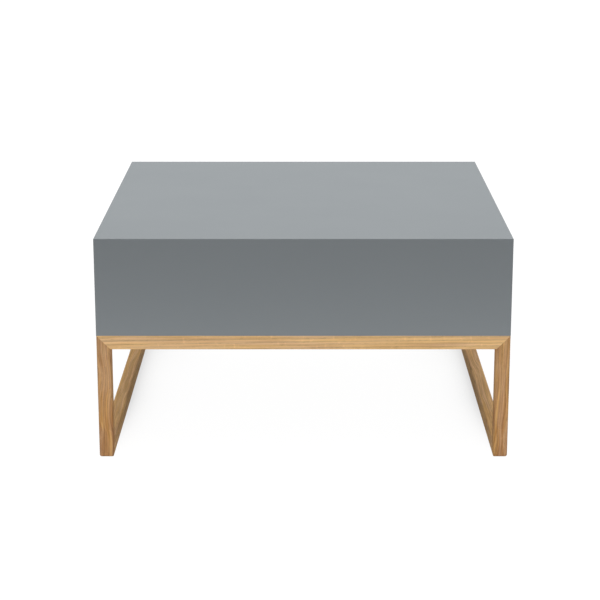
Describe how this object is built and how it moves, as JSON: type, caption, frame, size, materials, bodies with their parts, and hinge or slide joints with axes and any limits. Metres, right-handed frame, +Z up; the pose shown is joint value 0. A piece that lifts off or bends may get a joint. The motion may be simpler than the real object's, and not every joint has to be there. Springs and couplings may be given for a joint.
{
  "type": "coffee table",
  "caption": "Square coffee table: a closed, plain lacquered case with a flat top, flush on a mitred oak base whose side loops run along the floor.",
  "frame": {"origin": "on the floor under the middle of the table", "axes": "+Z up, +X to the right when the front is faced, front at -Y; the side loops run along Y"},
  "size_m": [0.8, 0.8, 0.44],
  "materials": {
    "grey_lacquer": "matt grey lacquer over fibreboard",
    "oak": "solid oak under matt clear lacquer, grain along each bar",
    "bare_fibreboard": "bare sawn fibreboard",
    "birch_plywood": "bare plywood",
    "softwood": "planed, unfinished",
    "beech": "bare",
    "zinc_plated_steel": "zinc plated",
    "brass": "plain machined",
    "white_nylon": "smooth moulded"
  },
  "bodies": {
    "root": {"back_panel": "grey_lacquer", "back_rail": "oak", "bottom_panel": "grey_lacquer", "case_bolt_back_left": "zinc_plated_steel", "case_bolt_back_right": "zinc_plated_steel", "case_bolt_front_left": "zinc_plated_steel", "case_bolt_front_right": "zinc_plated_steel", "corner_block_back_left": "softwood", "corner_block_back_right": "softwood", "corner_block_front_left": "softwood", "corner_block_front_right": "softwood", "corner_brace_back_left": "softwood", "corner_brace_back_right": "softwood", "corner_brace_front_left": "softwood", "corner_brace_front_right": "softwood", "corner_spline_back_left": "birch_plywood", "corner_spline_back_right": "birch_plywood", "corner_spline_front_left": "birch_plywood", "corner_spline_front_right": "birch_plywood", "cross_dowel_back_left": "beech", "cross_dowel_back_right": "beech", "cross_dowel_front_left": "beech", "cross_dowel_front_right": "beech", "depth_rib": "bare_fibreboard", "floor_glide_back_left": "white_nylon", "floor_glide_back_right": "white_nylon", "floor_glide_front_left": "white_nylon", "floor_glide_front_right": "white_nylon", "foot_tenon_back_left": "beech", "foot_tenon_back_right": "beech", "foot_tenon_front_left": "beech", "foot_tenon_front_right": "beech", "front_panel": "grey_lacquer", "front_rail": "oak", "left_panel": "grey_lacquer", "left_rail": "oak", "left_runner": "oak", "leg_back_left": "oak", "leg_back_right": "oak", "leg_front_left": "oak", "leg_front_right": "oak", "loop_dowel_back_left": "beech", "loop_dowel_back_right": "beech", "loop_dowel_front_left": "beech", "loop_dowel_front_right": "beech", "right_panel": "grey_lacquer", "right_rail": "oak", "right_runner": "oak", "threaded_insert_back_left": "brass", "threaded_insert_back_right": "brass", "threaded_insert_front_left": "brass", "threaded_insert_front_right": "brass", "top_panel": "grey_lacquer", "top_spline_back": "birch_plywood", "top_spline_front": "birch_plywood", "top_spline_left": "birch_plywood", "top_spline_right": "birch_plywood", "width_rib": "bare_fibreboard"}
  },
  "joints": []
}
